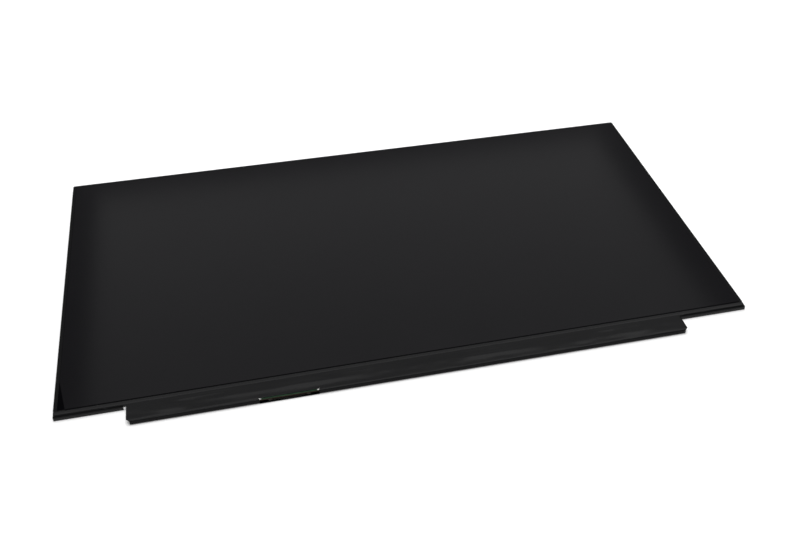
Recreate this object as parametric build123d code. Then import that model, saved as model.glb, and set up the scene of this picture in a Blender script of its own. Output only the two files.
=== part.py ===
from build123d import *
import os

# A slim edge-lit laptop screen panel, lying on its back with the picture side up.
# +X runs left to right across the picture, +Y from the board strip to the top of the picture,
# +Z out of the picture. The origin is under the middle of the outline. All sizes are millimetres.
# "near" is the board side (-Y), "far" is the picture's top edge (+Y).

# Picture area, and its borders to the body's edges
picture_width = 344.16
picture_depth = 193.59
picture_side_border = 3.25
picture_far_border = 2.9
picture_near_border = 8.76

# Outline of the module
panel_width = picture_width + 2 * picture_side_border
body_depth = picture_depth + picture_far_border + picture_near_border
body_corner = 1.0
strip_depth = 11.0
strip_left_inset = 33.0
strip_right_inset = 37.2
strip_corner_cut = 1.5

# Thickness of each layer, from the back to the front
cover_sheet = 0.30
reflector_thickness = 0.20
guide_thickness = 0.60
diffuser_thickness = 0.12
prism_thickness = 0.15
stack_headroom = 0.10
ledge_thickness = 0.36
bond_tape_thickness = 0.10
rear_polarizer_thickness = 0.13
glass_thickness = 0.30
front_polarizer_thickness = 0.19

# Tapes and films on the outside
edge_tape_thickness = 0.06
edge_tape_flange = 1.75
edge_tape_low = 0.25
board_film_thickness = 0.10
board_film_gap = 0.15
board_film_slope = 1.6
board_film_lift = 0.02
fold_radius = 0.45
skin_gap = 0.02

# Back cover and moulded frame
cover_bend = 0.25
cover_corner_relief = 1.6
frame_wall = 0.90
frame_fit = 0.03
window_margin = 0.45
stack_play = 0.25
snap_width = 5.0
snap_height = 0.45
snap_reach = 0.22
snap_low = 0.80
snap_play = 0.15
side_snaps = 3
far_snaps = 5

# Locating ears on the sheets and lugs on the light guide
ear_width = 10.0
ear_reach = 0.80
ear_from_middle = 112.0
ear_play = 0.30
guide_lug_width = 4.0
guide_lug_reach = 0.70
guide_lug_from_near = 14.0

# Light bar
led_width = 3.0
led_depth = 0.80
led_pitch = 7.0
led_back_gap = 0.07
led_front_gap = 0.05
led_window = 2.4
led_window_depth = 0.08
led_window_rim = 0.10
light_bar_end_gap = 3.0
flex_thickness = 0.12
flex_overlap = 3.7
flex_gap = 0.02
tail_width = 12.0
tail_from_strip_right = 70.0
tail_play = 0.5
tail_slope_start = 0.3
tail_slope_end = 0.2
tail_pad_length = 2.8

# Display cell
glass_gap = 0.14
array_near_inset = 0.45
bonding_ledge = 2.55
glass_corner_cut = 1.0
rear_polarizer_inset = 1.1
rear_polarizer_near = 2.4
front_polarizer_inset = 1.9
front_polarizer_near = 4.0
trim_width = 3.4
trim_length = 20.0
bond_tape_margin = 0.2

# Control board
board_thickness = 0.60
board_near_gap = 0.20
board_end_gap = 0.35
board_body_gap = 2.4
board_parts_height = 1.50
flap_gap = 0.30
tooling_hole = 1.5
tooling_hole_from_end = 6.0
pad_width = 1.8
pad_depth = 1.5
pad_thickness = 0.04

# Driver films and chips
driver_count = 4
driver_width = 40.0
driver_film_thickness = 0.07
driver_glass_gap = 0.30
driver_board_overlap = 2.0
driver_chip_length = 20.0
driver_chip_width = 1.3
driver_chip_thickness = 0.35

# Signal socket
socket_from_strip_left = 75.35
socket_setback = 0.3
contact_count = 30
contact_pitch = 0.5
contact_width = 0.22
contact_thickness = 0.10
contact_tip_gap = 0.3
contact_leg_gap = 0.20
contact_foot = 0.55
tongue_margin = 0.5
tongue_thickness = 0.34
tongue_board_gap = 0.18
tongue_setback = 0.2
cavity_margin = 0.6
cavity_depth = 2.6
socket_end_block = 1.4
socket_rear_block = 1.2
socket_height = 1.10
contact_slot_margin = 0.3
shell_thickness = 0.12
shell_tab_width = 0.8
shell_tab_length = 1.2
shell_window = 1.2
notch_width = 28.5
notch_depth = 1.2
notch_relief = 0.6
socket_window_margin = 1.2
left_relief = 1.4
right_relief = 0.3
relief_fold = 0.35

# Chips and passives on the back of the board, placed from the strip's middle
timing_chip_size = 6.0
timing_chip_height = 0.85
timing_chip_x = -18.0
power_chip_size = 5.0
power_chip_height = 0.80
power_chip_x = 24.0
backlight_chip_size = 4.0
backlight_chip_height = 0.80
backlight_chip_x = 86.0
memory_chip_length = 3.0
memory_chip_width = 2.0
memory_chip_height = 0.60
memory_chip_x = -8.0
inductor_size = 4.0
inductor_height = 1.20
inductor_corner = 0.6
part_spacing = 1.5
capacitor_length = 1.0
capacitor_width = 0.5
capacitor_height = 0.5
capacitor_pitch = 4.0
capacitors_per_driver = 8
resistor_length = 1.0
resistor_width = 0.5
resistor_height = 0.35
resistor_pitch = 2.2
resistor_count = 12
edge_row_inset = 0.35

# Reference edges of the outline
half_width = panel_width / 2
far_edge = (body_depth + strip_depth) / 2
near_edge = -far_edge
body_near = near_edge + strip_depth
body_middle = (body_near + far_edge) / 2
strip_left = -half_width + strip_left_inset
strip_right = half_width - strip_right_inset
strip_middle = (strip_left + strip_right) / 2

# Heights of the layers
floor_top = cover_sheet
guide_low = floor_top + reflector_thickness
guide_top = guide_low + guide_thickness
diffuser_top = guide_top + diffuser_thickness
lower_prism_top = diffuser_top + prism_thickness
upper_prism_top = lower_prism_top + prism_thickness
flex_top = guide_top + flex_thickness
ledge_low = upper_prism_top + stack_headroom
ledge_top = ledge_low + ledge_thickness
bond_top = ledge_top + bond_tape_thickness
array_low = bond_top + rear_polarizer_thickness
array_top = array_low + glass_thickness
cell_top = array_top + glass_thickness
panel_top = cell_top + front_polarizer_thickness

# Insets of the back cover, the frame and the cavity from the outline
cover_inset = max(edge_tape_thickness, board_film_thickness) + skin_gap
frame_inset = cover_inset + cover_sheet + frame_fit
cavity_inset = frame_inset + frame_wall
cavity_half = half_width - cavity_inset
cavity_near = body_near + cavity_inset
cavity_far = far_edge - cavity_inset
sheet_half = cavity_half - stack_play
sheet_far = cavity_far - stack_play

# Light bar, light guide and sheet stack along Y
led_back = cavity_near + led_back_gap
led_front = led_back + led_depth
guide_near = led_front + led_front_gap
flex_far = guide_near + flex_overlap
sheet_pocket_near = flex_far + stack_play
sheet_near = sheet_pocket_near + stack_play
tail_x = strip_right - tail_from_strip_right

# Window of the frame, round the picture
picture_far = far_edge - picture_far_border
picture_near = body_near + picture_near_border
window_half = half_width - picture_side_border + window_margin
window_near = picture_near - window_margin
window_far = picture_far + window_margin

# Display cell
glass_inset = cover_inset + glass_gap
glass_half = half_width - glass_inset
glass_far = far_edge - glass_inset
array_near = body_near + array_near_inset
filter_near = array_near + bonding_ledge
polarizer_near = body_near + front_polarizer_near

# Control board and board film, level with the bonding ledge
board_top = array_top
board_low = board_top - board_thickness
board_near = near_edge + board_film_thickness + board_near_gap
board_far = body_near - board_body_gap
board_left = strip_left + board_end_gap
board_right = strip_right - board_end_gap
board_middle = (board_near + board_far) / 2
film_far = polarizer_near - board_film_gap
film_top = board_top + driver_film_thickness + board_film_lift + board_film_thickness
flap_low = board_low - board_parts_height - board_film_thickness
flap_far = body_near - flap_gap

# Signal socket
socket_x = strip_left + socket_from_strip_left
socket_mouth = board_near + socket_setback
contact_span = (contact_count - 1) * contact_pitch
tongue_half = contact_span / 2 + tongue_margin
cavity_socket_half = tongue_half + cavity_margin
socket_half = cavity_socket_half + socket_end_block
socket_low = board_low - socket_height
housing_low = socket_low + shell_thickness
socket_back = socket_mouth + cavity_depth
socket_rear = socket_back + socket_rear_block
tongue_low = board_low - tongue_board_gap - tongue_thickness
notch_left = socket_x - notch_width / 2
notch_right = socket_x + notch_width / 2
notch_far = near_edge + notch_depth

spare = 1.0


def plate(left, right, near, far, low, high):
    """A flat plate between two corners."""
    outline = Pos((left + right) / 2, (near + far) / 2, low) * Rectangle(right - left, far - near)
    return extrude(outline, high - low)


def bar(profile, left, right):
    """A closed profile of (y, z) points carried along X."""
    return extrude(Plane.YZ.offset(left) * Polygon(*profile, align=None), right - left, dir=(1, 0, 0))


def body_block(inset, low, high):
    """The body's rounded outline, drawn in by an inset, between two heights."""
    corner = max(body_corner - inset, cover_sheet / 2)
    outline = RectangleRounded(panel_width - 2 * inset, body_depth - 2 * inset, corner)
    return extrude(Pos(0, body_middle, low) * outline, high - low)


def evenly(count, start, end):
    """Places spread evenly between two ends, half a step in from each."""
    step = (end - start) / count
    return [start + step * (index + 0.5) for index in range(count)]


def snap_places():
    """Each snap's x, y and the direction that its wall faces."""
    sides = evenly(side_snaps, body_near, far_edge)
    along = evenly(far_snaps, -half_width, half_width)
    places = [(-half_width, y, (-1, 0)) for y in sides]
    places += [(half_width, y, (1, 0)) for y in sides]
    places += [(x, far_edge, (0, 1)) for x in along]
    return places


def snap_block(place, inset, reach, play, low, high):
    """A block on a wall's face: its lug, or with play the window that the lug enters."""
    x, y, (out_x, out_y) = place
    half = snap_width / 2 + play
    if out_x:
        face = x - out_x * inset
        ends = sorted((face, face + out_x * reach))
        return plate(ends[0], ends[1], y - half, y + half, low, high)
    return plate(x - half, x + half, y - inset, y - inset + reach, low, high)


def tail_opening(near, far, low, high):
    """The passage that lets the light bar's tail through the near walls."""
    half = tail_width / 2 + tail_play
    return plate(tail_x - half, tail_x + half, near, far, low, high)


def back_cover():
    """Folded metal tray with open corners, snap windows and a passage for the tail."""
    tray = body_block(cover_inset, 0, ledge_low)
    tray = fillet(tray.faces().sort_by(Axis.Z)[0].edges(), cover_bend)
    tray -= body_block(cover_inset + cover_sheet, floor_top, ledge_low + spare)
    for x in (-half_width, half_width):
        for y in (body_near, far_edge):
            reach = cover_inset + cover_corner_relief
            tray -= plate(x - reach, x + reach, y - reach, y + reach, floor_top, ledge_low + spare)
    for place in snap_places():
        window_inset = cover_inset + cover_sheet + snap_play
        tray -= snap_block(place, window_inset, window_inset + spare, snap_play,
                           snap_low - snap_play, snap_low + snap_height + snap_play)
    return tray - tail_opening(body_near - spare, cavity_near, guide_top - snap_play, ledge_low + spare)


def mould_frame():
    """Moulded frame: a wall inside the cover, a shoulder on the cover's edge and a ledge for the cell."""
    frame = body_block(frame_inset, floor_top, ledge_low) + body_block(cover_inset, ledge_low, ledge_top)
    frame -= plate(-window_half, window_half, window_near, window_far, 0, panel_top)
    frame -= plate(-cavity_half, cavity_half, sheet_pocket_near, cavity_far, 0, ledge_low)
    frame -= plate(-cavity_half, cavity_half, cavity_near, sheet_pocket_near, 0, flex_top + flex_gap)
    ear_half = ear_width / 2 + ear_play
    for x in (-ear_from_middle, ear_from_middle):
        frame -= plate(x - ear_half, x + ear_half, cavity_far - spare, far_edge, 0, ledge_low)
    lug_middle = body_near + guide_lug_from_near
    lug_half = guide_lug_width / 2 + ear_play
    frame -= plate(-half_width, half_width, lug_middle - lug_half, lug_middle + lug_half, 0, ledge_low)
    frame -= tail_opening(body_near, cavity_near, guide_top - snap_play, ledge_low)
    for place in snap_places():
        frame += snap_block(place, frame_inset, frame_fit + snap_reach, 0, snap_low, snap_low + snap_height)
    return frame


def eared_sheet(low, thickness):
    """An optical sheet with two locating ears on its far edge."""
    sheet = plate(-sheet_half, sheet_half, sheet_near, sheet_far, low, low + thickness)
    for x in (-ear_from_middle, ear_from_middle):
        sheet += plate(x - ear_width / 2, x + ear_width / 2, sheet_far, sheet_far + ear_reach, low, low + thickness)
    return sheet


def light_guide():
    """Clear light guide with a locating lug on each side."""
    middle = body_near + guide_lug_from_near
    reach = sheet_half + guide_lug_reach
    near, far = middle - guide_lug_width / 2, middle + guide_lug_width / 2
    return (plate(-sheet_half, sheet_half, guide_near, sheet_far, guide_low, guide_top)
            + plate(-reach, reach, near, far, guide_low, guide_top))


def light_bar_flex():
    """Flexible circuit over the LEDs, with a tail that climbs to the back of the board."""
    half = sheet_half - light_bar_end_gap
    strip = plate(-half, half, led_back, flex_far, guide_top, flex_top)
    rise = board_low - flex_top
    start = body_near - tail_slope_start
    end = board_far + tail_slope_end
    lower = [(led_back, guide_top), (start, guide_top), (end, guide_top + rise),
             (board_far - tail_pad_length, guide_top + rise)]
    upper = [(y, z + flex_thickness) for y, z in reversed(lower)]
    return strip + bar(lower + upper, tail_x - tail_width / 2, tail_x + tail_width / 2)


def light_bar_leds():
    """Row of side-lit LED packages, each with a shallow window towards the light guide."""
    reach = sheet_half - light_bar_end_gap
    count = int(2 * reach // led_pitch)
    leds = []
    for x in evenly(count, -count * led_pitch / 2, count * led_pitch / 2):
        package = plate(x - led_width / 2, x + led_width / 2, led_back, led_front, guide_low, guide_top)
        package -= plate(x - led_window / 2, x + led_window / 2, led_front - led_window_depth, led_front,
                         guide_low + led_window_rim, guide_top - led_window_rim)
        leds.append(package)
    return Compound(children=leds)


def bond_tape():
    """Ring of double-sided tape between the frame's ledge and the cell."""
    half = half_width - rear_polarizer_inset
    ring = plate(-half, half, body_near + rear_polarizer_near, far_edge - rear_polarizer_inset, ledge_top, bond_top)
    inner = window_half + bond_tape_margin
    return ring - plate(-inner, inner, window_near - bond_tape_margin, window_far + bond_tape_margin,
                        ledge_top, bond_top)


def array_glass():
    """Rear glass with a bonding ledge along its near edge and cut corners there."""
    glass = plate(-glass_half, glass_half, array_near, glass_far, array_low, array_top)
    corners = glass.edges().filter_by(Axis.Z).group_by(Axis.Y)[0]
    return chamfer(corners, glass_corner_cut)


def front_polarizer():
    """Matte front sheet, its lower left corner trimmed on a long slant."""
    half = half_width - front_polarizer_inset
    far = far_edge - front_polarizer_inset
    outline = Polygon((-half, polarizer_near + trim_length), (-half + trim_width, polarizer_near),
                      (half, polarizer_near), (half, far), (-half, far), align=None)
    return extrude(Pos(0, 0, cell_top) * outline, front_polarizer_thickness)


def edge_tapes():
    """Left, far and right edge tapes: folded over the cell's border and down the walls, mitred at the corners."""
    skin = body_block(0, edge_tape_low, cell_top + edge_tape_thickness)
    skin -= body_block(edge_tape_thickness, edge_tape_low - spare, cell_top)
    skin -= plate(-half_width + edge_tape_flange, half_width - edge_tape_flange, body_near - spare,
                  far_edge - edge_tape_flange, 0, panel_top)
    skin -= plate(-half_width - spare, half_width + spare, body_near - spare, film_far + skin_gap, 0, panel_top)
    reach = edge_tape_flange + spare
    mitre = Polygon((-half_width, far_edge), (-half_width + reach, far_edge - reach),
                    (half_width - reach, far_edge - reach), (half_width, far_edge), align=None)
    far_zone = extrude(mitre, panel_top)
    far_tape = skin & far_zone
    sides = skin - far_zone
    left_tape = sides & plate(-half_width - spare, 0, body_near, far_edge, 0, panel_top)
    right_tape = sides & plate(0, half_width + spare, body_near, far_edge, 0, panel_top)
    return left_tape, far_tape, right_tape


def film_cap():
    """The board film over the body's near edge: down off the cell's border and round the front wall."""
    slope_end = filter_near - board_film_slope
    border_top = cell_top + board_film_thickness
    outer = [(film_far, edge_tape_low), (film_far, border_top), (filter_near, border_top), (slope_end, film_top),
             (body_near, film_top), (body_near, edge_tape_low)]
    outer_face = Polygon(*outer, align=None)
    fold = outer_face.vertices().sort_by_distance(Vector(body_near, film_top, 0))[0]
    outer_bar = extrude(Plane.YZ.offset(-half_width) * fillet(fold, fold_radius), panel_width, dir=(1, 0, 0))
    under = film_top - board_film_thickness
    wall = body_near + board_film_thickness
    inner = [(film_far + spare, 0), (film_far + spare, cell_top), (filter_near, cell_top), (slope_end, under),
             (wall, under), (wall, 0)]
    cap = outer_bar & body_block(0, edge_tape_low, border_top)
    return cap - (bar(inner, -half_width, half_width) & body_block(board_film_thickness, 0, border_top))


def film_sleeve():
    """The board film round the strip: a folded channel, open towards the body and at both ends."""
    height = film_top - flap_low
    outer = Pos((near_edge + flap_far) / 2, flap_low + height / 2) * Rectangle(flap_far - near_edge, height)
    outer = fillet(outer.vertices().group_by(Axis.X)[0], fold_radius)
    inner_near = near_edge + board_film_thickness
    inner_height = height - 2 * board_film_thickness
    inner = Pos((inner_near + body_near) / 2, flap_low + height / 2) * Rectangle(body_near - inner_near, inner_height)
    inner = fillet(inner.vertices().group_by(Axis.X)[0], fold_radius - board_film_thickness)
    sleeve = extrude(Plane.YZ.offset(strip_left) * (outer - inner), strip_right - strip_left)
    return sleeve + plate(strip_left, strip_right, flap_far, body_near + fold_radius + board_film_thickness,
                          film_top - board_film_thickness, film_top)


def corner_prism(x, direction, cut):
    """A corner of the strip, cut off at 45 degrees."""
    corner = Polygon((x, near_edge), (x + direction * cut, near_edge), (x, near_edge + cut), align=None)
    return extrude(corner, panel_top, dir=(0, 0, 1))


def board_film():
    """One folded black film over the near edge and the board strip, notched at the socket."""
    sleeve = film_sleeve()
    for x, direction in ((strip_left, 1), (strip_right, -1)):
        sleeve -= corner_prism(x, direction, strip_corner_cut)
    sleeve -= plate(notch_left, notch_right, near_edge - spare, notch_far, 0, panel_top)
    sleeve -= plate(notch_left, notch_right, near_edge - spare, socket_rear + socket_window_margin, 0, board_low)
    for x in (notch_left, notch_right):
        sleeve -= extrude(Pos(x, notch_far, board_top) * Circle(notch_relief), panel_top - board_top)
    passage_far = body_near + fold_radius
    under = film_top - board_film_thickness
    cap = film_cap() - plate(strip_left, strip_right, body_near - spare, passage_far, 0, under)
    cap -= plate(strip_left - left_relief, strip_right + right_relief, body_near - spare, passage_far,
                 0, under - relief_fold)
    return cap + sleeve


def driver_places():
    """The driver films' middles, spread evenly along the strip."""
    return evenly(driver_count, strip_left, strip_right)


def driver_film(x):
    """A driver film, bonded to the array glass's ledge and to the board."""
    return plate(x - driver_width / 2, x + driver_width / 2, board_far - driver_board_overlap,
                 filter_near - driver_glass_gap, board_top, board_top + driver_film_thickness)


def driver_chip(x):
    """The long chip under a driver film, in the gap between the body and the board."""
    middle = (board_far + body_near) / 2
    return plate(x - driver_chip_length / 2, x + driver_chip_length / 2, middle - driver_chip_width / 2,
                 middle + driver_chip_width / 2, board_top - driver_chip_thickness, board_top)


def control_board():
    """Long board with cut near corners and a tooling hole near each end."""
    board = plate(board_left, board_right, board_near, board_far, board_low, board_top)
    corners = board.edges().filter_by(Axis.Z).group_by(Axis.Y)[0]
    board = chamfer(corners, strip_corner_cut)
    for x in (board_left + tooling_hole_from_end, board_right - tooling_hole_from_end):
        board -= extrude(Pos(x, board_middle, board_low) * Circle(tooling_hole / 2), board_thickness)
    return board


def ground_pads():
    """Two tinned pads on the board, under the round ends of the film's notch."""
    pads = []
    for x in (notch_left, notch_right):
        pads.append(plate(x - pad_width / 2, x + pad_width / 2, notch_far - pad_depth / 2, notch_far + pad_depth / 2,
                          board_top, board_top + pad_thickness))
    return Compound(children=pads)


def socket_housing():
    """Moulded socket body: two end blocks, a rear block and a tongue that carries the contacts."""
    body = plate(socket_x - socket_half, socket_x + socket_half, socket_mouth, socket_rear, housing_low, board_low)
    body -= plate(socket_x - cavity_socket_half, socket_x + cavity_socket_half, socket_mouth, socket_back,
                  housing_low, board_low)
    body += plate(socket_x - tongue_half, socket_x + tongue_half, socket_mouth + tongue_setback, socket_back,
                  tongue_low, tongue_low + tongue_thickness)
    slot_half = contact_span / 2 + contact_slot_margin
    return body - plate(socket_x - slot_half, socket_x + slot_half, socket_back, socket_rear,
                        tongue_low - contact_thickness, tongue_low)


def socket_shell():
    """Folded metal shell over the socket, with solder tabs on the board and two latch windows."""
    outer = socket_half + shell_thickness
    shell = plate(socket_x - outer, socket_x + outer, socket_mouth, socket_rear, socket_low, board_low)
    shell -= plate(socket_x - socket_half, socket_x + socket_half, socket_mouth, socket_rear, housing_low, board_low)
    tab_near = (socket_mouth + socket_rear - shell_tab_length) / 2
    for side in (-1, 1):
        ends = sorted((socket_x + side * outer, socket_x + side * (outer + shell_tab_width)))
        shell += plate(ends[0], ends[1], tab_near, tab_near + shell_tab_length, board_low - shell_thickness, board_low)
        window_x = socket_x + side * (cavity_socket_half - shell_window)
        shell -= Pos(window_x, (socket_mouth + socket_back) / 2, socket_low) * Box(
            shell_window, shell_window, 2 * shell_thickness)
    return shell


def socket_contacts():
    """Row of contacts: along the tongue, out through the rear block and down to a foot on the board."""
    tip = socket_mouth + tongue_setback + contact_tip_gap
    leg = socket_rear + contact_leg_gap
    leg_far = leg + contact_thickness
    foot_low = board_low - contact_thickness
    profile = [(tip, tongue_low - contact_thickness), (leg_far, tongue_low - contact_thickness), (leg_far, foot_low),
               (leg_far + contact_foot, foot_low), (leg_far + contact_foot, board_low), (leg, board_low),
               (leg, tongue_low), (tip, tongue_low)]
    first = socket_x - contact_span / 2
    places = [first + index * contact_pitch for index in range(contact_count)]
    return Compound(children=[bar(profile, x - contact_width / 2, x + contact_width / 2) for x in places])


def board_chip(x, length, width, height):
    """A flat package on the back of the board, in the middle of its depth."""
    middle = strip_middle + x
    return plate(middle - length / 2, middle + length / 2, board_middle - width / 2, board_middle + width / 2,
                 board_low - height, board_low)


def power_inductors():
    """Moulded inductors, two beside the power chip and one beside the backlight chip."""
    first = power_chip_x + power_chip_size / 2 + part_spacing + inductor_size / 2
    second = first + inductor_size + part_spacing
    third = backlight_chip_x + backlight_chip_size / 2 + part_spacing + inductor_size / 2
    outline = RectangleRounded(inductor_size, inductor_size, inductor_corner)
    low = board_low - inductor_height
    return Compound(children=[extrude(Pos(strip_middle + x, board_middle, low) * outline, inductor_height)
                              for x in (first, second, third)])


def board_capacitors():
    """A row of capacitors along the board's far edge, behind each driver film."""
    far = board_far - edge_row_inset
    row = (capacitors_per_driver - 1) * capacitor_pitch
    parts = []
    for driver in driver_places():
        for index in range(capacitors_per_driver):
            x = driver - row / 2 + index * capacitor_pitch
            parts.append(plate(x - capacitor_length / 2, x + capacitor_length / 2, far - capacitor_width, far,
                               board_low - capacitor_height, board_low))
    return Compound(children=parts)


def board_resistors():
    """A row of resistors along the board's near edge, beside the timing controller."""
    near = board_near + edge_row_inset
    first = strip_middle + timing_chip_x - (resistor_count - 1) * resistor_pitch / 2
    parts = []
    for index in range(resistor_count):
        x = first + index * resistor_pitch
        parts.append(plate(x - resistor_length / 2, x + resistor_length / 2, near, near + resistor_width,
                           board_low - resistor_height, board_low))
    return Compound(children=parts)


def build_parts():
    """Every piece of the panel, by its node name."""
    rear_half = half_width - rear_polarizer_inset
    left_tape, far_tape, right_tape = edge_tapes()
    parts = {
        "back_cover": back_cover(),
        "mould_frame": mould_frame(),
        "reflector_sheet": plate(-sheet_half, sheet_half, led_back, sheet_far, floor_top, guide_low),
        "light_guide": light_guide(),
        "diffuser_sheet": eared_sheet(guide_top, diffuser_thickness),
        "lower_prism_sheet": eared_sheet(diffuser_top, prism_thickness),
        "upper_prism_sheet": eared_sheet(lower_prism_top, prism_thickness),
        "light_bar_flex": light_bar_flex(),
        "light_bar_leds": light_bar_leds(),
        "bond_tape": bond_tape(),
        "rear_polarizer": plate(-rear_half, rear_half, body_near + rear_polarizer_near,
                                far_edge - rear_polarizer_inset, bond_top, array_low),
        "array_glass": array_glass(),
        "colour_filter_glass": plate(-glass_half, glass_half, filter_near, glass_far, array_top, cell_top),
        "front_polarizer": front_polarizer(),
        "edge_tape_left": left_tape,
        "edge_tape_far": far_tape,
        "edge_tape_right": right_tape,
        "board_film": board_film(),
        "control_board": control_board(),
        "ground_pads": ground_pads(),
        "socket_housing": socket_housing(),
        "socket_shell": socket_shell(),
        "socket_contacts": socket_contacts(),
        "timing_controller": board_chip(timing_chip_x, timing_chip_size, timing_chip_size, timing_chip_height),
        "power_chip": board_chip(power_chip_x, power_chip_size, power_chip_size, power_chip_height),
        "backlight_chip": board_chip(backlight_chip_x, backlight_chip_size, backlight_chip_size,
                                     backlight_chip_height),
        "memory_chip": board_chip(memory_chip_x, memory_chip_length, memory_chip_width, memory_chip_height),
        "power_inductors": power_inductors(),
        "board_capacitors": board_capacitors(),
        "board_resistors": board_resistors(),
    }
    for number, x in enumerate(driver_places(), start=1):
        parts[f"driver_film_{number}"] = driver_film(x)
        parts[f"driver_chip_{number}"] = driver_chip(x)
    return parts


os.makedirs("parts", exist_ok=True)
for node, shape in build_parts().items():
    export_step(shape, f"parts/{node}.step")
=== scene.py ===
"""Looks of the laptop screen panel: finishes, the draped board film, and a plain white studio."""

import logging
import math
from dataclasses import dataclass
from enum import Enum
from typing import Any, Union

import bmesh
import bpy
from mathutils import Matrix, Vector, noise

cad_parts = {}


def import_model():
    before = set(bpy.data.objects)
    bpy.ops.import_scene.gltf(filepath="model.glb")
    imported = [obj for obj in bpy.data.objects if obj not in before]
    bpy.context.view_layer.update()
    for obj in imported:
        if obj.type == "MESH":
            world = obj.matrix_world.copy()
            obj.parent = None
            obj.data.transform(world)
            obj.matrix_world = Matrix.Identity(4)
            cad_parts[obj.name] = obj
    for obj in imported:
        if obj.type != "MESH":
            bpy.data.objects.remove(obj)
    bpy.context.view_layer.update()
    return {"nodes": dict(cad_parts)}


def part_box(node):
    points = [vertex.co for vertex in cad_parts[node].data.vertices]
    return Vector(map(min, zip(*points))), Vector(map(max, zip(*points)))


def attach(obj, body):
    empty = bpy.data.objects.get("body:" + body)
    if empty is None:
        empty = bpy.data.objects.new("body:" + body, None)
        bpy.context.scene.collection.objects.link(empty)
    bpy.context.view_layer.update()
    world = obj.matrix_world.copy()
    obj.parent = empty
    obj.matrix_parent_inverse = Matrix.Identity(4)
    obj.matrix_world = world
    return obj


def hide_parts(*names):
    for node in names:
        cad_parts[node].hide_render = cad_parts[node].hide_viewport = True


LOG = logging.getLogger("screen_panel")
MM = 0.001
IMAGE_WIDTH = 800
BODY = "root"
ON_LINE = 1e-6
CUT_REACH = 1e-7
FOLD_SEGMENTS = 4
NOISE_ROUGHNESS = 0.55
FINE_BUMP = 0.5

Colour = tuple[float, float, float]


class Grain(Enum):
    """How a surface's fine variation runs, as a stretch of the noise along X, Y and Z."""

    EVEN = (1.0, 1.0, 1.0)
    BRUSHED = (0.02, 1.0, 1.0)
    STREAKED = (0.25, 1.0, 1.0)


class Value:
    """A shader value that takes part in Python arithmetic."""

    def __init__(self, shader: "Shader", socket: bpy.types.NodeSocket) -> None:
        """Keep the shader and the output socket that the value comes from."""
        self.shader = shader
        self.socket = socket

    def _math(self, operation: str, first: "Number", second: "Number") -> "Value":
        """Add one Math node.

        Args:
            operation: The Math node's operation.
            first: Its first value.
            second: Its second value.

        Returns:
            The node's result.
        """
        node = self.shader.add("ShaderNodeMath", {"operation": operation}, {0: first, 1: second})
        return Value(self.shader, node.outputs[0])

    def __add__(self, other: "Number") -> "Value":
        """Sum."""
        return self._math("ADD", self, other)

    __radd__ = __add__

    def __sub__(self, other: "Number") -> "Value":
        """Difference."""
        return self._math("SUBTRACT", self, other)

    def __rsub__(self, other: "Number") -> "Value":
        """Reflected difference."""
        return self._math("SUBTRACT", other, self)

    def __mul__(self, other: "Number") -> "Value":
        """Product."""
        return self._math("MULTIPLY", self, other)

    __rmul__ = __mul__

    def above(self, limit: float) -> "Value":
        """One where the value is over a limit, else zero."""
        return self._math("GREATER_THAN", self, limit)

    def size(self) -> "Value":
        """The value without its sign."""
        return self._math("ABSOLUTE", self, 0.0)


Number = Union[Value, float]


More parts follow.
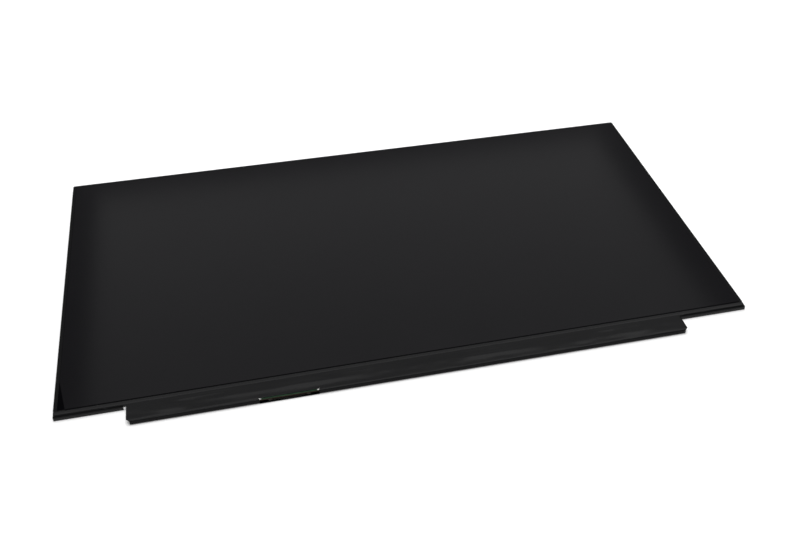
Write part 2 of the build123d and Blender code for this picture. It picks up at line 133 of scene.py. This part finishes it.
class Shader:
    """One material under construction, with its principled shader."""

    def __init__(self, name: str) -> None:
        """Start an empty material with a principled surface."""
        self.material = bpy.data.materials.new(name)
        self.material.use_nodes = True
        self.tree = self.material.node_tree
        self.tree.nodes.clear()
        self.surface = self.add("ShaderNodeBsdfPrincipled", {}, {})
        self.output = self.add("ShaderNodeOutputMaterial", {}, {"Surface": self.surface.outputs[0]})

    def add(self, kind: str, settings: dict[str, Any], inputs: dict[Union[str, int], Any]) -> bpy.types.Node:
        """Add a node.

        Args:
            kind: The node's type.
            settings: Properties of the node, set first.
            inputs: Values, sockets or Values for its input sockets.

        Returns:
            The new node.
        """
        node = self.tree.nodes.new(kind)
        for name, setting in settings.items():
            setattr(node, name, setting)
        for key, value in inputs.items():
            self.feed(node.inputs[key], value)
        return node

    def feed(self, socket: bpy.types.NodeSocket, value: Any) -> None:
        """Link a value to a socket, or set the socket's own number."""
        if isinstance(value, Value):
            self.tree.links.new(value.socket, socket)
        elif isinstance(value, bpy.types.NodeSocket):
            self.tree.links.new(value, socket)
        else:
            socket.default_value = value

    def dress(self, **sockets: Any) -> None:
        """Feed the principled shader's sockets, named with underscores for spaces."""
        for name, value in sockets.items():
            self.feed(self.surface.inputs[name.replace("_", " ")], value)

    def place(self) -> bpy.types.NodeSocket:
        """The point on the piece, in metres."""
        return self.add("ShaderNodeTexCoord", {}, {}).outputs["Object"]

    def noise(self, cell: float, grain: Grain = Grain.EVEN, detail: float = 3.0) -> Value:
        """A noise over the piece.

        Args:
            cell: Size of one patch, in metres.
            grain: How the patches are stretched.
            detail: Finer layers in the noise.

        Returns:
            The noise, from 0 to 1.
        """
        stretched = self.add("ShaderNodeMapping", {}, {"Vector": self.place(), "Scale": grain.value})
        node = self.add("ShaderNodeTexNoise", {}, {"Vector": stretched.outputs[0], "Scale": 1 / cell,
                                                   "Detail": detail, "Roughness": NOISE_ROUGHNESS})
        return Value(self, node.outputs["Fac"])

    def blend(self, factor: Number, first: Any, second: Any) -> bpy.types.NodeSocket:
        """Mix two colours by a factor."""
        node = self.add("ShaderNodeMix", {"data_type": "RGBA"}, {"Factor": factor, 6: self.full(first),
                                                                 7: self.full(second)})
        return node.outputs[2]

    @staticmethod
    def full(colour: Any) -> Any:
        """A colour with its alpha, or the socket as it is."""
        return (*colour, 1.0) if isinstance(colour, tuple) else colour

    def bump(self, height: Value, distance: float, strength: float) -> None:
        """Raise the surface by a height map."""
        node = self.add("ShaderNodeBump", {}, {"Height": height, "Distance": distance, "Strength": strength})
        self.dress(Normal=node.outputs[0])


@dataclass(frozen=True)
class Finish:
    """A finish of two close colours that drift over the surface, with matching gloss and fine relief.

    Attributes:
        name: The material's name.
        colour: Main colour.
        drift: Colour of the other patches.
        roughness: Mean roughness.
        spread: How far roughness wanders.
        patch: Size of the patches, in metres.
        grain: How the fine relief runs.
        relief: Height of the fine relief, in metres.
        pitch: Size of the fine relief, in metres.
        metallic: One for a bare metal.
        gloss: Specular level.
    """

    name: str
    colour: Colour
    drift: Colour
    roughness: float
    spread: float = 0.08
    patch: float = 20 * MM
    grain: Grain = Grain.EVEN
    relief: float = 0.01 * MM
    pitch: float = 0.4 * MM
    metallic: float = 0.0
    gloss: float = 0.5

    def build(self) -> bpy.types.Material:
        """Make the material."""
        shader = Shader(self.name)
        patches = shader.noise(self.patch, self.grain)
        shader.dress(Base_Color=shader.blend(patches, self.colour, self.drift),
                     Roughness=self.roughness + (patches - 0.5) * (2 * self.spread),
                     Metallic=self.metallic, Specular_IOR_Level=self.gloss)
        shader.bump(shader.noise(self.pitch, self.grain), self.relief, FINE_BUMP)
        return shader.material


@dataclass(frozen=True)
class BoardFinish:
    """Green solder mask with faint copper runs, and the tan laminate on the board's cut edges.

    Attributes:
        name: The material's name.
        mask: Colour of the mask on the bare laminate.
        run: Colour of the mask over copper.
        laminate: Colour of the cut edges.
        gloss: Specular level.
        run_width: Width of the copper runs.
        run_level: Noise level above which there is copper.
        run_rise: How far the copper lifts the mask.
        run_bump: Strength of that relief.
        edge_roughness: Roughness of the cut edges.
        mask_shine: How much smoother the mask is.
        flat_limit: Upward share of the normal above which a face is flat.
    """

    name: str = "board_solder_mask"
    mask: Colour = (0.008, 0.022, 0.011)
    run: Colour = (0.012, 0.034, 0.016)
    laminate: Colour = (0.026, 0.018, 0.012)
    gloss: float = 0.06
    run_width: float = 0.9 * MM
    run_level: float = 0.55
    run_rise: float = 0.03 * MM
    run_bump: float = 0.4
    edge_roughness: float = 0.62
    mask_shine: float = 0.32
    flat_limit: float = 0.5

    def build(self) -> bpy.types.Material:
        """Make the material."""
        shader = Shader(self.name)
        runs = shader.noise(self.run_width, Grain.STREAKED, 0.0).above(self.run_level)
        faces = shader.add("ShaderNodeNewGeometry", {}, {}).outputs["Normal"]
        upright = Value(shader, shader.add("ShaderNodeSeparateXYZ", {}, {0: faces}).outputs[2])
        flat = upright.size().above(self.flat_limit)
        green = shader.blend(runs, self.mask, self.run)
        shader.dress(Base_Color=shader.blend(flat, self.laminate, green),
                     Roughness=self.edge_roughness - flat * self.mask_shine, Specular_IOR_Level=self.gloss)
        shader.bump(runs, self.run_rise, self.run_bump)
        return shader.material


@dataclass(frozen=True)
class FlexFinish:
    """Amber driver film with fine copper lines running to the board.

    Attributes:
        name: The material's name.
        film: Colour of the film.
        copper: Colour of the lines.
        line_pitch: From one line to the next.
        line_level: Wave level above which there is copper.
        roughness: Roughness of the film.
        copper_shine: How much smoother the copper is.
    """

    name: str = "flex_amber"
    film: Colour = (0.33, 0.16, 0.035)
    copper: Colour = (0.55, 0.27, 0.08)
    line_pitch: float = 0.5 * MM
    line_level: float = 0.55
    roughness: float = 0.42
    copper_shine: float = 0.1

    def build(self) -> bpy.types.Material:
        """Make the material."""
        shader = Shader(self.name)
        lines = shader.add("ShaderNodeTexWave", {"bands_direction": "X"},
                           {"Vector": shader.place(), "Scale": math.pi / (10 * self.line_pitch)})
        copper = Value(shader, lines.outputs["Fac"]).above(self.line_level)
        shader.dress(Base_Color=shader.blend(copper, self.film, self.copper),
                     Roughness=self.roughness - copper * self.copper_shine)
        return shader.material


POLARIZER = Finish("polarizer_matte", (0.0040, 0.0038, 0.0046), (0.0052, 0.0050, 0.0058), 0.12, 0.01, 45 * MM,
                   relief=0.002 * MM, pitch=0.12 * MM, gloss=0.08)
CELL_GLASS = Finish("cell_glass_black", (0.0012, 0.0012, 0.0016), (0.0016, 0.0016, 0.0020), 0.06, 0.02,
                    relief=0.0, gloss=0.02)
EDGE_TAPE = Finish("tape_black", (0.0030, 0.0030, 0.0033), (0.0044, 0.0044, 0.0047), 0.42, 0.06, 12 * MM,
                   relief=0.006 * MM, gloss=0.05)
BOARD_FILM = Finish("film_black", (0.0030, 0.0030, 0.0034), (0.0050, 0.0050, 0.0054), 0.15, 0.05, 7 * MM,
                    Grain.STREAKED, 0.002 * MM, 0.5 * MM, gloss=0.08)
ALUMINIUM = Finish("cover_aluminium", (0.70, 0.70, 0.71), (0.62, 0.62, 0.64), 0.36, 0.08, 1.2 * MM,
                   Grain.BRUSHED, 0.004 * MM, 0.3 * MM, metallic=1.0)
WHITE_PLASTIC = Finish("frame_white", (0.82, 0.82, 0.80), (0.76, 0.76, 0.74), 0.50)
OPTICAL_SHEET = Finish("optical_clear", (0.74, 0.77, 0.80), (0.68, 0.71, 0.75), 0.22, grain=Grain.BRUSHED)
LED_PACKAGE = Finish("led_package", (0.86, 0.80, 0.46), (0.80, 0.74, 0.40), 0.45, patch=2 * MM)
TINNED = Finish("solder_tin", (0.42, 0.42, 0.41), (0.34, 0.34, 0.33), 0.30, patch=0.6 * MM, metallic=1.0)
SOCKET_PLASTIC = Finish("socket_plastic", (0.035, 0.028, 0.022), (0.028, 0.022, 0.018), 0.55,
                        patch=3 * MM, gloss=0.2)
# The socket shell's steel colour is painted far darker than bare steel: painted shade for the shadow the shell
# sits in under the board.
SHELL_STEEL_PAINTED_SHADE = Finish("shell_steel", (0.13, 0.125, 0.12), (0.10, 0.095, 0.09), 0.42, patch=1.5 * MM,
                     grain=Grain.BRUSHED, metallic=1.0)
CONTACT_METAL = Finish("contact_gilt", (0.82, 0.62, 0.27), (0.74, 0.54, 0.22), 0.26, patch=1 * MM, metallic=1.0)
CHIP_RESIN = Finish("chip_black", (0.016, 0.016, 0.017), (0.024, 0.024, 0.025), 0.60, patch=1.5 * MM)
CERAMIC = Finish("ceramic_tan", (0.42, 0.30, 0.18), (0.36, 0.25, 0.15), 0.40, patch=0.8 * MM)

NODE_FINISHES: dict[str, Union[Finish, BoardFinish, FlexFinish]] = {
    "back_cover": ALUMINIUM, "mould_frame": WHITE_PLASTIC, "reflector_sheet": WHITE_PLASTIC,
    "light_guide": OPTICAL_SHEET, "diffuser_sheet": OPTICAL_SHEET, "lower_prism_sheet": OPTICAL_SHEET,
    "upper_prism_sheet": OPTICAL_SHEET, "light_bar_leds": LED_PACKAGE, "light_bar_flex": FlexFinish(),
    "bond_tape": EDGE_TAPE, "rear_polarizer": POLARIZER, "front_polarizer": POLARIZER,
    "array_glass": CELL_GLASS, "colour_filter_glass": CELL_GLASS, "edge_tape_left": EDGE_TAPE,
    "edge_tape_far": EDGE_TAPE, "edge_tape_right": EDGE_TAPE, "control_board": BoardFinish(),
    "ground_pads": TINNED, "socket_housing": SOCKET_PLASTIC, "socket_shell": SHELL_STEEL_PAINTED_SHADE,
    "socket_contacts": CONTACT_METAL, "board_capacitors": CERAMIC,
}
GROUP_FINISHES = {"driver_film": FlexFinish(), "driver_chip": CHIP_RESIN}


@dataclass
class PanelPieces:
    """The solids that keep their own shape and only take a finish."""

    fallback: Finish = CHIP_RESIN

    def finish_of(self, node: str) -> Union[Finish, BoardFinish, FlexFinish]:
        """The finish of a node, by its own name or its group's."""
        return NODE_FINISHES.get(node) or GROUP_FINISHES.get(node.rsplit("_", 1)[0], self.fallback)

    def dress(self, nodes: dict[str, bpy.types.Object]) -> None:
        """Give every solid its finish.

        Args:
            nodes: The frame's solids by name.
        """
        made: dict[str, bpy.types.Material] = {}
        for node, solid in nodes.items():
            finish = self.finish_of(node)
            if finish.name not in made:
                made[finish.name] = finish.build()
            solid.data.materials.clear()
            solid.data.materials.append(made[finish.name])
            LOG.info("%s wears %s", node, finish.name)


@dataclass
class DrapedFilm:
    """The folded black film over the board strip, slack over the chips under it.

    Attributes:
        thickness: The film's own thickness.
        cover_inset: From the outline to the back cover's wall.
        board_end_gap: From the strip's end to the board's.
        slope_run: How far the film takes to come down off the glass.
        film_lift: Gap between the driver films and the film.
        parts_height: Room under the board.
        flap_gap: From the body to the rear flap's edge.
        pad_width: Width of a ground pad, whose middle is an end of the notch.
        corner_cut: Cut corners of the strip.
        fold: Radius of the folds.
        relief: Half size of the cut at the notch's ends.
        hem_depth: Depth of the rear flap's hem that crosses the notch under the socket.
        left_relief: Open stretch of the wall beside the strip's left end.
        step: Spacing of the mesh.
        slack: Height of the film's waves.
        chip_rise: Height of the hump over a driver chip.
        chip_spread: Half width of that hump.
        chip_taper: How far that hump runs on past the chip's ends.
        broad_wave: Size of the film's broad waves, across and along.
        fine_wave: Size of its fine waves, at half their height.
        wave_layers: Noise layers that the two kinds of waves are read from.
        lift_run: How far from the slope the waves take to rise.
        fold_run: How far from the fold they take to rise.
        ridges: Long slack ridges, each with its middle across and from the fold, its half length, half width
            and height.
    """

    thickness: float = 0.10 * MM
    cover_inset: float = 0.12 * MM
    board_end_gap: float = 0.35 * MM
    slope_run: float = 1.6 * MM
    film_lift: float = 0.02 * MM
    parts_height: float = 1.5 * MM
    flap_gap: float = 0.30 * MM
    pad_width: float = 1.8 * MM
    corner_cut: float = 1.5 * MM
    fold: float = 0.40 * MM
    relief: float = 0.26 * MM
    hem_depth: float = 2.6 * MM
    left_relief: float = 1.4 * MM
    step: float = 0.9 * MM
    slack: float = 0.08 * MM
    chip_rise: float = 0.11 * MM
    chip_spread: float = 1.1 * MM
    chip_taper: float = 4 * MM
    broad_wave: tuple[float, float] = (26 * MM, 4.5 * MM)
    fine_wave: tuple[float, float] = (9 * MM, 2.6 * MM)
    wave_layers: tuple[float, float] = (3.1, 8.4)
    lift_run: float = 2 * MM
    fold_run: float = 1.5 * MM
    ridges: tuple[tuple[float, float, float, float, float], ...] = (
        (-72 * MM, 6.6 * MM, 32 * MM, 1.9 * MM, 0.17 * MM), (40 * MM, 6.2 * MM, 19 * MM, 1.9 * MM, 0.17 * MM),
        (96 * MM, 5.4 * MM, 22 * MM, 2.2 * MM, 0.13 * MM), (-124 * MM, 4.6 * MM, 10 * MM, 2.2 * MM, 0.14 * MM))

    def __post_init__(self) -> None:
        """Read the film's place from the solids round it."""
        low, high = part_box("board_film")
        board_low, board_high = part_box("control_board")
        glass_low, glass_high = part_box("colour_filter_glass")
        pads_low, pads_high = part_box("ground_pads")
        self.half, self.near, self.far, self.wall_low = high[0], low[1], high[1], low[2]
        self.left = board_low[0] - self.board_end_gap
        self.right = board_high[0] + self.board_end_gap
        self.body_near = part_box("back_cover")[0][1] - self.cover_inset
        self.glass_near = glass_low[1]
        self.border_top = glass_high[2] + self.thickness
        self.strip_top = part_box("driver_film_1")[1][2] + self.film_lift + self.thickness
        self.flap_low = board_low[2] - self.parts_height - self.thickness
        self.notch = (pads_low[0] + self.pad_width / 2, pads_high[0] - self.pad_width / 2)
        self.notch_far = (pads_low[1] + pads_high[1]) / 2
        self.chips = [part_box(f"driver_chip_{number}") for number in range(1, 5)]

    def height(self, x: float, y: float) -> float:
        """The film's top surface over a point.

        Args:
            x: Place across the panel.
            y: Place from the strip to the picture's top.

        Returns:
            The height of the outer face.
        """
        fall = min(max((self.glass_near - y) / self.slope_run, 0.0), 1.0)
        base = self.border_top + (self.strip_top - self.border_top) * fall
        if fall < 1.0:
            return base
        start = min((self.glass_near - self.slope_run - y) / self.lift_run, 1.0)
        end = min(max((y - self.near) / self.fold_run, 0.0), 1.0)
        wave = noise.noise(Vector((x / self.broad_wave[0], y / self.broad_wave[1], self.wave_layers[0])))
        wave += 0.5 * noise.noise(Vector((x / self.fine_wave[0], y / self.fine_wave[1], self.wave_layers[1])))
        return base + start * end * (self.slack * max(0.5 + wave, 0.0) + self.hump(x, y))

    def hump(self, x: float, y: float) -> float:
        """How far a driver chip or a slack ridge lifts the film."""
        rise = 0.0
        for low, high in self.chips:
            middle = (low[1] + high[1]) / 2
            along = max(low[0] - x, x - high[0], 0.0) / self.chip_taper
            across = (y - middle) / self.chip_spread
            rise = max(rise, self.chip_rise * math.exp(-along * along - across * across))
        for middle_x, from_fold, half_length, half_width, lift in self.ridges:
            along = (x - middle_x) / half_length
            across = (y - self.near - from_fold) / half_width
            rise = max(rise, lift * math.exp(-along ** 4 - across * across))
        return rise

    def cut(self, mesh: bmesh.types.BMesh, point: tuple[float, float], normal: tuple[float, float]) -> None:
        """Split the sheet along a line."""
        geometry = mesh.verts[:] + mesh.edges[:] + mesh.faces[:]
        bmesh.ops.bisect_plane(mesh, geom=geometry, dist=CUT_REACH, plane_co=(*point, 0), plane_no=(*normal, 0))

    def outside(self, place: Vector) -> bool:
        """Whether a point of the flat sheet is cut away."""
        x, y = place.x, place.y
        if y < self.body_near and not self.left < x < self.right:
            return True
        corner = min(x - self.left, self.right - x) + (y - self.near)
        if y < self.body_near and corner < self.corner_cut:
            return True
        in_notch = self.notch[0] < x < self.notch[1] and y < self.notch_far
        at_end = min(abs(x - self.notch[0]), abs(x - self.notch[1])) < self.relief
        return in_notch or (at_end and abs(y - self.notch_far) < self.relief)

    def flat_sheet(self) -> bmesh.types.BMesh:
        """The film before it is folded, cut to its outline."""
        mesh = bmesh.new()
        depth = self.far - self.near
        size = Matrix.Diagonal((2 * self.half, depth, 1, 1))
        place = Matrix.Translation((0, self.near + depth / 2, 0))
        bmesh.ops.create_grid(mesh, x_segments=round(2 * self.half / self.step),
                              y_segments=round(depth / self.step), size=0.5, matrix=place @ size)
        relief_left = self.left - self.left_relief
        across = [self.left, self.right, relief_left]
        across += [end + side * self.relief for end in self.notch for side in (-1, 0, 1)]
        for x in across:
            self.cut(mesh, (x, 0), (1, 0))
        for y in (self.body_near, self.notch_far, self.notch_far + self.relief, self.notch_far - self.relief,
                  self.glass_near, self.glass_near - self.slope_run):
            self.cut(mesh, (0, y), (0, 1))
        self.cut(mesh, (self.left + self.corner_cut, self.near), (1, 1))
        self.cut(mesh, (self.right - self.corner_cut, self.near), (-1, 1))
        gone = [face for face in mesh.faces if self.outside(face.calc_center_median())]
        bmesh.ops.delete(mesh, geom=gone, context="FACES")
        return mesh

    def fold_edges(self, mesh: bmesh.types.BMesh) -> tuple[list[bmesh.types.BMEdge], list[bmesh.types.BMEdge]]:
        """The edges along which the sheet folds down.

        Args:
            mesh: The flat sheet.

        Returns:
            The strip's front edges, and the body's front and side edges.
        """
        strip, body = [], []
        for edge in mesh.edges:
            if not edge.is_boundary:
                continue
            middle = (edge.verts[0].co + edge.verts[1].co) / 2
            if abs(middle.y - self.near) < ON_LINE:
                strip.append(edge)
            elif abs(middle.y - self.body_near) < ON_LINE:
                if not self.left - self.left_relief < middle.x < self.right:
                    body.append(edge)
            elif abs(abs(middle.x) - self.half) < ON_LINE:
                body.append(edge)
        return strip, body

    def wall(self, mesh: bmesh.types.BMesh, edges: list[bmesh.types.BMEdge],
             low: float) -> list[bmesh.types.BMVert]:
        """Fold a wall down from a row of edges.

        Args:
            mesh: The sheet.
            edges: The edges that the wall hangs from.
            low: Height of the wall's lower edge.

        Returns:
            The points of the lower edge.
        """
        made = bmesh.ops.extrude_edge_only(mesh, edges=edges)["geom"]
        verts = [item for item in made if isinstance(item, bmesh.types.BMVert)]
        for vert in verts:
            vert.co.z = low
        return verts

    def hem(self, mesh: bmesh.types.BMesh) -> None:
        """Lay the rear flap's hem across the notch, facing down."""
        width = self.notch[1] - self.notch[0]
        size = Matrix.Diagonal((width, self.hem_depth, 1, 1))
        place = Matrix.Translation((self.notch[0] + width / 2, self.near + self.hem_depth / 2, self.flap_low))
        made = bmesh.ops.create_grid(mesh, x_segments=1, y_segments=1, size=0.5, matrix=place @ size)["verts"]
        bmesh.ops.reverse_faces(mesh, faces=list({face for vert in made for face in vert.link_faces}))

    def build(self) -> bpy.types.Object:
        """Fold, drape and thicken the film, and stand it in for its solid."""
        mesh = self.flat_sheet()
        for vert in mesh.verts:
            vert.co.z = self.height(vert.co.x, vert.co.y)
        strip, body = self.fold_edges(mesh)
        hem = self.wall(mesh, strip, self.flap_low)
        self.wall(mesh, body, self.wall_low)
        low_edges = [edge for edge in mesh.edges
                     if edge.is_boundary and all(vert in hem for vert in edge.verts)]
        flap = bmesh.ops.extrude_edge_only(mesh, edges=low_edges)["geom"]
        reach = self.body_near - self.flap_gap - self.near
        bmesh.ops.translate(mesh, verts=[item for item in flap if isinstance(item, bmesh.types.BMVert)],
                            vec=(0, reach, 0))
        folds = [edge for edge in strip + body + low_edges if edge.is_valid]
        bmesh.ops.bevel(mesh, geom=folds, offset=self.fold, offset_type="OFFSET", segments=FOLD_SEGMENTS,
                        profile=0.5, affect="EDGES", material=-1)
        bmesh.ops.recalc_face_normals(mesh, faces=mesh.faces)
        if max(mesh.faces, key=lambda face: face.calc_center_median().z).normal.z < 0:
            bmesh.ops.reverse_faces(mesh, faces=mesh.faces)
        self.hem(mesh)
        data = bpy.data.meshes.new("board_film_draped")
        mesh.to_mesh(data)
        mesh.free()
        data.shade_smooth()
        film = bpy.data.objects.new("board_film_draped", data)
        bpy.context.scene.collection.objects.link(film)
        solid = film.modifiers.new("thickness", "SOLIDIFY")
        solid.thickness = self.thickness
        solid.offset = -1
        data.materials.append(BOARD_FILM.build())
        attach(film, BODY)
        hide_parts("board_film")
        LOG.info("board film draped over %d chips", len(self.chips))
        return film


@dataclass(frozen=True)
class Lamp:
    """A rectangular soft light.

    Attributes:
        name: The lamp's name.
        place: Where it stands.
        aim: What it faces.
        size: Its width and height.
        radiance: How bright its face is, with 1 as white.
    """

    name: str
    place: Colour
    aim: Colour
    size: tuple[float, float]
    radiance: float

    def build(self) -> None:
        """Hang the lamp in the scene."""
        data = bpy.data.lights.new(self.name, "AREA")
        data.shape = "RECTANGLE"
        data.size, data.size_y = self.size
        data.energy = self.radiance * math.pi * self.size[0] * self.size[1]
        lamp = bpy.data.objects.new(self.name, data)
        lamp.location = self.place
        lamp.rotation_euler = (Vector(self.aim) - Vector(self.place)).to_track_quat("-Z", "Y").to_euler()
        bpy.context.scene.collection.objects.link(lamp)


OVERHEAD = Lamp("overhead", (0.0, -0.1, 1.5), (0, 0, 0), (1.3, 1.3), 4.6)
MIRRORED_SOFTBOX = Lamp("mirrored_softbox", (0.103, 0.642, 0.5), (0.103, 0.642, 0.0), (0.761, 0.533), 0.74)
STREAK_LIGHT = Lamp("streak_light", (0.103, 0.30, 0.5), (0.103, 0.30, 0.0), (0.90, 0.17), 2.6)


@dataclass
class Studio:
    """White floor, soft lights and the camera.

    Attributes:
        focal_px: Focal length in pixels of the photograph's frame.
        azimuth: Camera's turn round the panel, in degrees.
        elevation: Camera's height over the table, in degrees.
        roll: Camera's tilt, in degrees.
        distance: From the camera to its target.
        target: Point on the table that the camera's axis meets, from the body's near edge.
        centre_px: How far the axis falls from the frame's middle, in pixels.
        body_near: The body's near edge.
        sensor: Width of the camera's sensor, in millimetres.
        sky: Brightness of the room.
        floor_reach: Half the floor's width.
        floor_colour: Colour of the floor.
        floor_roughness: Roughness of the floor.
        floor_glow: Share of the floor that glows by itself where it is seen.
        lamps: The soft lights. The softbox is the panel's outline as the camera sees it mirrored.
    """

    focal_px: float = 1068.9
    azimuth: float = -14.67
    elevation: float = 35.89
    roll: float = 0.63
    distance: float = 610.0 * MM
    target: tuple[float, float] = (49.0 * MM, 84.5 * MM)
    centre_px: tuple[float, float] = (75.6, -27.5)
    body_near: float = -97.125 * MM
    sensor: float = 36.0
    sky: float = 0.20
    floor_reach: float = 6.0
    floor_colour: Colour = (0.97, 0.97, 0.97)
    floor_roughness: float = 0.9
    floor_glow: float = 0.2
    lamps: tuple[Lamp, ...] = (OVERHEAD, MIRRORED_SOFTBOX, STREAK_LIGHT)

    def camera(self) -> None:
        """Set the camera at the photograph's viewing angle."""
        azimuth, elevation, roll = (math.radians(angle) for angle in (self.azimuth, self.elevation, self.roll))
        back = Vector((math.sin(azimuth) * math.cos(elevation), -math.cos(azimuth) * math.cos(elevation),
                       math.sin(elevation)))
        right = (-back).cross(Vector((0, 0, 1))).normalized()
        up = back.cross(right)
        turned_right = right * math.cos(roll) + up * math.sin(roll)
        turned_up = up * math.cos(roll) - right * math.sin(roll)
        aim = Vector((self.target[0], self.target[1] + self.body_near, 0))
        data = bpy.data.cameras.new("camera")
        data.sensor_width = self.sensor
        data.lens = self.sensor * self.focal_px / IMAGE_WIDTH
        data.shift_x = -self.centre_px[0] / IMAGE_WIDTH
        data.shift_y = self.centre_px[1] / IMAGE_WIDTH
        data.clip_start = 10 * MM
        camera = bpy.data.objects.new("camera", data)
        basis = Matrix((turned_right, turned_up, back)).transposed().to_4x4()
        camera.matrix_world = Matrix.Translation(aim + back * self.distance) @ basis
        bpy.context.scene.collection.objects.link(camera)
        bpy.context.scene.camera = camera

    def floor(self) -> None:
        """Lay the white floor, which keeps the panel's shadow."""
        mesh = bmesh.new()
        bmesh.ops.create_grid(mesh, x_segments=1, y_segments=1, size=self.floor_reach)
        data = bpy.data.meshes.new("floor")
        mesh.to_mesh(data)
        mesh.free()
        floor = bpy.data.objects.new("floor", data)
        bpy.context.scene.collection.objects.link(floor)
        shader = Shader("floor_white")
        shader.dress(Base_Color=(*self.floor_colour, 1.0), Roughness=self.floor_roughness,
                     Specular_IOR_Level=0.0)
        path = shader.add("ShaderNodeLightPath", {}, {})
        seen = Value(shader, path.outputs["Is Camera Ray"]) + Value(shader, path.outputs["Is Glossy Ray"])
        seen = seen + Value(shader, path.outputs["Is Transmission Ray"])
        glow = shader.add("ShaderNodeEmission", {}, {"Color": (1, 1, 1, 1), "Strength": 1.0})
        mixed = shader.add("ShaderNodeMixShader", {}, {0: seen * self.floor_glow, 1: shader.surface.outputs[0],
                                                       2: glow.outputs[0]})
        shader.feed(shader.output.inputs["Surface"], mixed.outputs[0])
        data.materials.append(shader.material)

    def world(self) -> None:
        """Fill the room with even light."""
        world = bpy.data.worlds.new("room")
        world.use_nodes = True
        background = world.node_tree.nodes["Background"]
        background.inputs["Color"].default_value = (1, 1, 1, 1)
        background.inputs["Strength"].default_value = self.sky
        bpy.context.scene.world = world

    def build(self) -> None:
        """Set up the whole studio."""
        bpy.context.scene.view_settings.view_transform = "Standard"
        self.world()
        self.floor()
        for lamp in self.lamps:
            lamp.build()
        self.camera()


def main() -> None:
    """Load the frame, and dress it."""
    logging.basicConfig(level=logging.INFO, format="%(name)s: %(message)s")
    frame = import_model()
    PanelPieces().dress(frame["nodes"])
    DrapedFilm().build()
    Studio().build()


if __name__ == "__main__":
    main()
